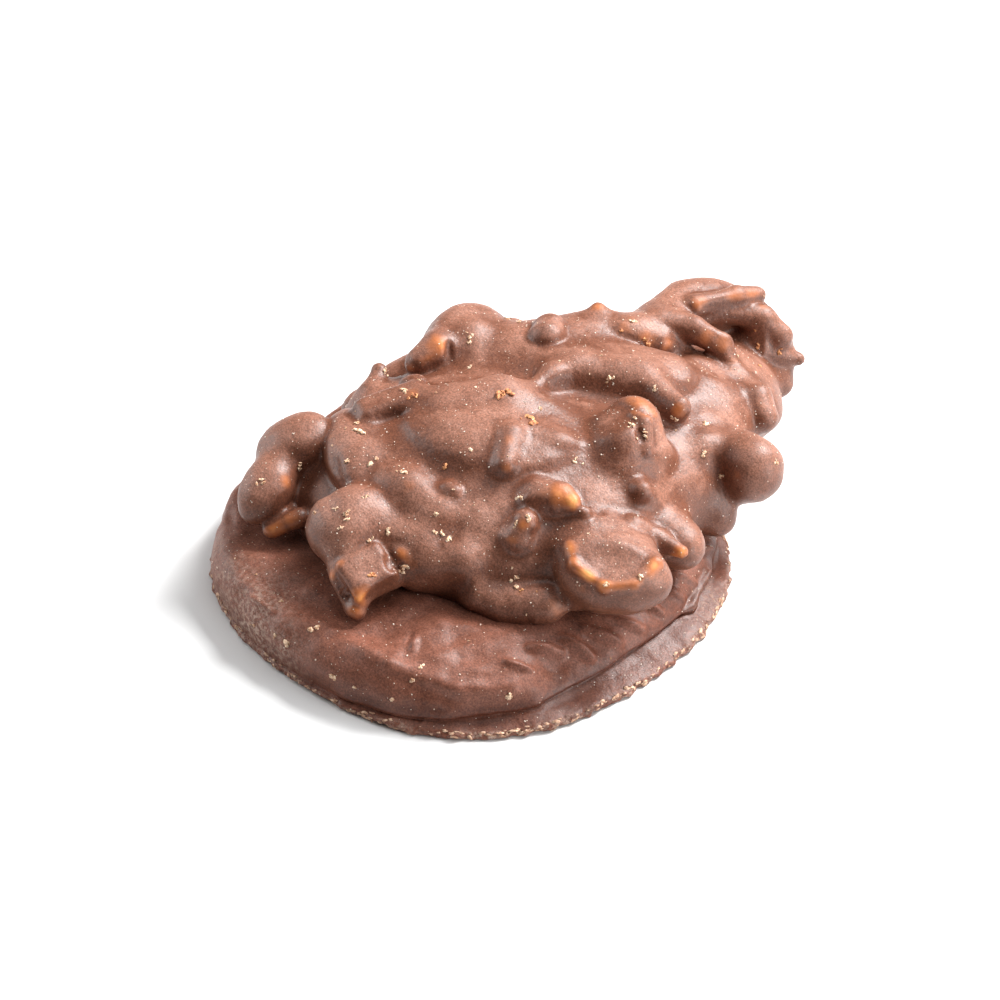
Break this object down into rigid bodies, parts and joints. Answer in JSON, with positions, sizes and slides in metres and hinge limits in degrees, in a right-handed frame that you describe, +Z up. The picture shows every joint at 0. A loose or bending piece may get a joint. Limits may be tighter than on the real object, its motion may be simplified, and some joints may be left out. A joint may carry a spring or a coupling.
{
  "type": "chocolate nut cluster",
  "caption": "Lumpy heap of chocolate-coated pecans with an overhanging tail, set on a thick round disc of darker chocolate that stands flat.",
  "frame": {"origin": "centre of the overall box in plan, at the underside of the disc", "axes": "+Z up, +Y along the heap towards its overhanging tail, +X to the right with the tail away from the viewer"},
  "size_m": [0.0644, 0.089, 0.0235],
  "materials": {
    "base_chocolate": "dark reddish chocolate, semi-gloss, scuffed, with a flaky tan rim",
    "coat_chocolate": "milk chocolate, satin, with orange nut showing through where the coat is thin and pale crumbs"
  },
  "bodies": {
    "root": {"base": "base_chocolate", "cluster": "coat_chocolate"}
  },
  "joints": []
}
